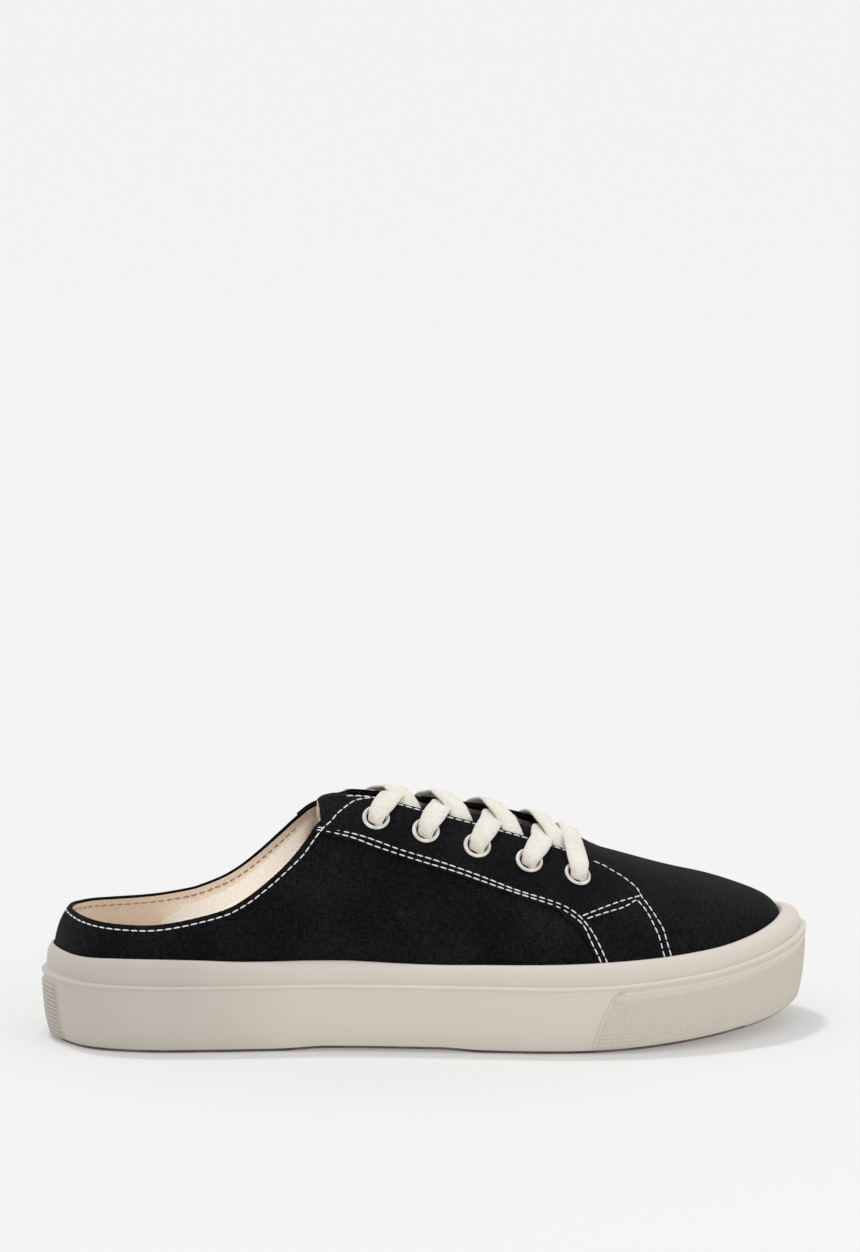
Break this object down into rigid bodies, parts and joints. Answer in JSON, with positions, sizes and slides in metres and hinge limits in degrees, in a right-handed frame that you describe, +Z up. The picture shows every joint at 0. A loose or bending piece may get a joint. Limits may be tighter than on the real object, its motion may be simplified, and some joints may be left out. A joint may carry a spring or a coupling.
{
  "type": "sneaker mule",
  "caption": "Backless low canvas sneaker for the right foot, black with white stitching, flat cotton laces and an off-white rubber cup sole.",
  "frame": {"origin": "on the floor under the middle of the sole's bounding box", "axes": "+X from the heel to the toe, +Y towards the inner side of the foot, +Z up"},
  "size_m": [0.2724, 0.0982, 0.0876],
  "materials": {
    "rubber_sole": "matte, off-white moulded rubber",
    "canvas": "matte black cotton canvas",
    "overlay_canvas": "matte black cotton canvas, sewn on",
    "lining": "matte cream cotton",
    "lace_cotton": "matte ivory woven cotton",
    "eyelet_enamel": "satin ivory enamel"
  },
  "bodies": {
    "root": {"sole": "rubber_sole", "upper": "canvas", "insole": "lining", "tongue": "canvas", "eyestay_outer": "overlay_canvas", "side_panel_outer": "overlay_canvas", "eyestay_inner": "overlay_canvas", "side_panel_inner": "overlay_canvas", "eyelet_outer_1": "eyelet_enamel", "eyelet_outer_2": "eyelet_enamel", "eyelet_outer_3": "eyelet_enamel", "eyelet_outer_4": "eyelet_enamel", "eyelet_outer_5": "eyelet_enamel", "eyelet_inner_1": "eyelet_enamel", "eyelet_inner_2": "eyelet_enamel", "eyelet_inner_3": "eyelet_enamel", "eyelet_inner_4": "eyelet_enamel", "eyelet_inner_5": "eyelet_enamel", "lace_cross_1": "lace_cotton", "lace_cross_2": "lace_cotton", "lace_cross_3": "lace_cotton", "lace_cross_4": "lace_cotton", "lace_bar": "lace_cotton"}
  },
  "joints": []
}
